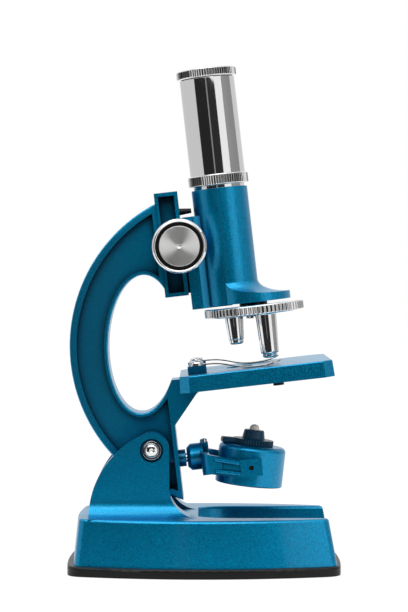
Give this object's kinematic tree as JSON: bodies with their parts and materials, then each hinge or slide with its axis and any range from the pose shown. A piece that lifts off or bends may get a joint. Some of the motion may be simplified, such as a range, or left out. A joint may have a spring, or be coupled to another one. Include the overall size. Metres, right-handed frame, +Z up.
{
  "type": "student microscope",
  "caption": "Upright student microscope: tilting C-shaped arm on a horseshoe base, rack-focused tube with zoom eyepiece and objective turret, clipped stage and turn-over lamp and mirror drum.",
  "frame": {"origin": "centre of the base plate's underside", "axes": "+Z up, +X to the front (open side of the arm), -Y the side with the pivot bolt's head"},
  "size_m": [0.1166, 0.078, 0.2149],
  "materials": {
    "blue_lacquer": "metallic blue stoved lacquer on die-cast metal, satin gloss",
    "black_plastic": "black moulded plastic, satin",
    "dark_blue_plastic": "dark blue moulded plastic, satin",
    "chrome": "bright chrome plate",
    "spun_aluminium": "spun aluminium with fine turned rings",
    "steel": "bright rolled steel",
    "brass": "turned brass",
    "cell_label": "plain shrink sleeve",
    "lens_glass": "clear polished glass",
    "mirror": "silvered glass mirror"
  },
  "bodies": {
    "base": {"base_casting": "blue_lacquer", "base_plate": "black_plastic", "battery_cover": "black_plastic", "battery_cells": "cell_label", "battery_contacts": "steel", "base_screws": "steel", "pivot_bolt": "chrome", "pivot_nut": "steel", "pivot_washers": "steel"},
    "arm": {"arm_casting": "blue_lacquer", "stage": "blue_lacquer", "stage_screws": "steel", "clip_screws": "chrome", "slide_rails": "black_plastic", "stop_pin": "black_plastic", "pinion_bushes": "brass", "aperture_rivet": "black_plastic"},
    "tube": {"body_tube": "blue_lacquer", "focus_rack": "steel", "eyepiece_barrel": "chrome", "barrel_collar": "chrome", "turret_screw": "steel", "turret_washer": "black_plastic"},
    "knobs": {"pinion_shaft": "steel", "knob_near": "chrome", "knob_far": "chrome", "knob_discs": "spun_aluminium", "knob_rings": "black_plastic"},
    "eyepiece": {"eyepiece_cap": "chrome", "draw_tube": "black_plastic", "eye_lens": "lens_glass", "field_lens": "lens_glass", "lens_ring": "black_plastic"},
    "turret": {"turret_disc": "chrome", "objective_short": "chrome", "objective_medium": "chrome", "objective_long": "chrome", "objective_lenses": "lens_glass"},
    "clip_near": {"stage_clip_near": "steel"},
    "clip_far": {"stage_clip_far": "steel"},
    "aperture": {"aperture_disc": "black_plastic"},
    "fork": {"lamp_shaft": "steel", "lamp_fork": "blue_lacquer", "clamp_screw": "chrome"},
    "drum": {"lamp_drum": "blue_lacquer", "drum_pins": "black_plastic", "mirror_disc": "mirror", "mirror_ring": "spun_aluminium", "bulb": "lens_glass", "bulb_socket": "black_plastic"},
    "cap": {"lamp_cap": "dark_blue_plastic"}
  },
  "joints": [
    {"name": "arm_tilt", "type": "hinge", "parent": "base", "child": "arm", "pos_m": [-0.0221, 0, 0.0516], "axis": [0, -1, 0], "range_deg": [-6.5, 38.5]},
    {"name": "focus_slide", "type": "slide", "parent": "arm", "child": "tube", "axis": [-0.1132, 0, 0.9936], "range_m": [-0.0015, 0.009]},
    {"name": "knob_turn", "type": "hinge", "parent": "arm", "child": "knobs", "pos_m": [-0.01036, 0, 0.13758], "axis": [0, -1, 0], "range_deg": [-22, 130]},
    {"name": "zoom_draw", "type": "slide", "parent": "tube", "child": "eyepiece", "axis": [-0.1132, 0, 0.9936], "range_m": [0, 0.015]},
    {"name": "turret_turn", "type": "hinge", "parent": "tube", "child": "turret", "pos_m": [0.02149, 0, 0.11071], "axis": [-0.1132, 0, 0.9936], "continuous": true},
    {"name": "clip_near_swing", "type": "hinge", "parent": "arm", "child": "clip_near", "pos_m": [-0.00314, -0.018, 0.08748], "axis": [-0.1132, 0, 0.9936], "range_deg": [-40, 0]},
    {"name": "clip_far_swing", "type": "hinge", "parent": "arm", "child": "clip_far", "pos_m": [-0.00314, 0.018, 0.08748], "axis": [-0.1132, 0, 0.9936], "range_deg": [0, 40]},
    {"name": "aperture_turn", "type": "hinge", "parent": "arm", "child": "aperture", "pos_m": [0.03141, 0, 0.08457], "axis": [-0.1132, 0, 0.9936], "continuous": true},
    {"name": "lamp_swivel", "type": "hinge", "parent": "arm", "child": "fork", "pos_m": [-0.00748, 0, 0.04693], "axis": [0.9936, 0, 0.1132], "range_deg": [-25, 25]},
    {"name": "drum_flip", "type": "hinge", "parent": "fork", "child": "drum", "pos_m": [0.02003, 0, 0.04402], "axis": [0, 1, 0], "range_deg": [-10, 180]},
    {"name": "lamp_cap_twist", "type": "hinge", "parent": "drum", "child": "cap", "pos_m": [0.02003, 0, 0.04402], "axis": [0.1097, 0, 0.994], "range_deg": [0, 30]}
  ],
  "couplings": [
    {"joint": "knob_turn", "follows": "focus_slide", "rad_per_m": 250}
  ]
}
